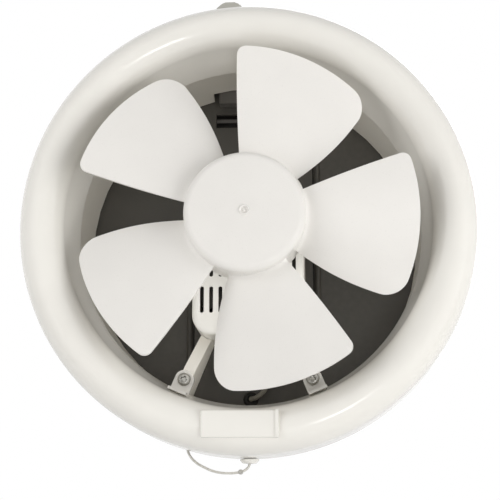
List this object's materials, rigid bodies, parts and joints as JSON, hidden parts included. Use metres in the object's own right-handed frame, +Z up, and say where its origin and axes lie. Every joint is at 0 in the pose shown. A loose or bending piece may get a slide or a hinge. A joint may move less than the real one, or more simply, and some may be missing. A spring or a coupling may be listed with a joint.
{
  "type": "exhaust fan",
  "caption": "Round wall exhaust fan: bell-mouth ring, bladed impeller on a small motor, duct casing with a two-leaf shutter, and a pull-cord switch.",
  "frame": {"origin": "on the fan's axis, in the plane of the wall's face, where the gasket seats", "axes": "+Y along the fan's axis towards outdoors, +Z up, +X to the right as seen from the room"},
  "size_m": [0.275, 0.1348, 0.2997],
  "materials": {
    "gloss_ivory": "glossy warm ivory moulding",
    "impeller_ivory": "soft-gloss ivory moulding",
    "satin_ivory": "satin ivory moulding",
    "white_plastic": "satin white moulding",
    "clear_plastic": "clouded clear moulding",
    "shutter_grey": "satin dark warm grey",
    "box_grey": "satin mid grey",
    "outlet_grey": "satin light grey",
    "black_rubber": "black rubber",
    "gasket_rubber": "closed-cell foam rubber",
    "plated_steel": "bright zinc plate",
    "core_iron": "stacked sheet iron",
    "winding": "varnished winding under tape",
    "bush_bronze": "sintered bronze",
    "lead_white": "white lead sleeve",
    "pull_cord": "off-white braided cord"
  },
  "bodies": {
    "root": {"front_ring": "gloss_ivory", "ring_clip_left": "clear_plastic", "ring_clip_right": "clear_plastic", "ring_clip_top": "clear_plastic", "clip_screw_left": "plated_steel", "clip_screw_right": "plated_steel", "clip_screw_top": "plated_steel", "motor_frame": "satin_ivory", "motor_cover": "white_plastic", "cover_screw_left": "plated_steel", "cover_screw_right": "plated_steel", "stator_core": "core_iron", "stator_coil": "winding", "front_bridge": "plated_steel", "rear_bridge": "plated_steel", "front_bush": "bush_bronze", "rear_bush": "bush_bronze", "motor_bolt_left": "plated_steel", "motor_bolt_right": "plated_steel", "rear_casing": "outlet_grey", "shutter_panel": "shutter_grey", "panel_screw_top": "plated_steel", "panel_screw_bottom": "plated_steel", "wall_gasket": "gasket_rubber", "frame_screw_1": "plated_steel", "frame_screw_2": "plated_steel", "frame_screw_3": "plated_steel", "frame_screw_4": "plated_steel", "leaf_pin_left": "plated_steel", "leaf_pin_right": "plated_steel", "terminal_box": "box_grey", "terminal_lid": "box_grey", "lid_screw": "plated_steel", "lead_outlet": "outlet_grey", "lead_grommet": "black_rubber", "motor_lead": "lead_white", "pull_switch": "box_grey", "cord_boss": "gloss_ivory", "pull_cord_lead": "pull_cord", "pull_cord_coil": "pull_cord", "cord_tie": "clear_plastic", "cord_knot": "pull_cord"},
    "fan_rotor": {"impeller": "impeller_ivory", "impeller_clamp": "plated_steel", "motor_shaft": "plated_steel", "rotor": "core_iron"},
    "right_leaf": {"shutter_leaf_right": "shutter_grey"},
    "left_leaf": {"shutter_leaf_left": "shutter_grey"},
    "link_bar": {"shutter_bar": "box_grey"},
    "pull": {"pull_slider": "white_plastic", "pull_cord_drop": "pull_cord"}
  },
  "joints": [
    {"name": "fan_spin", "type": "hinge", "parent": "root", "child": "fan_rotor", "pos_m": [0, 0, 0], "axis": [0, 1, 0], "continuous": true},
    {"name": "leaf_right_swing", "type": "hinge", "parent": "root", "child": "right_leaf", "pos_m": [0.0415, 0.043, 0], "axis": [0, 0, 1], "range_deg": [0, 80]},
    {"name": "leaf_left_swing", "type": "hinge", "parent": "root", "child": "left_leaf", "pos_m": [-0.0415, 0.043, 0], "axis": [0, 0, 1], "range_deg": [-80, 0]},
    {"name": "bar_slide", "type": "slide", "parent": "root", "child": "link_bar", "axis": [1, 0, 0], "range_m": [0, 0.01158]},
    {"name": "cord_pull", "type": "slide", "parent": "root", "child": "pull", "axis": [0, 0, -1], "range_m": [0, 0.01], "stiffness_N_per_m": 200, "springref_m": -0.003}
  ],
  "couplings": [
    {"joint": "leaf_left_swing", "follows": "leaf_right_swing", "ratio": -1},
    {"joint": "bar_slide", "follows": "leaf_right_swing", "m_per_rad": 0.008286}
  ]
}
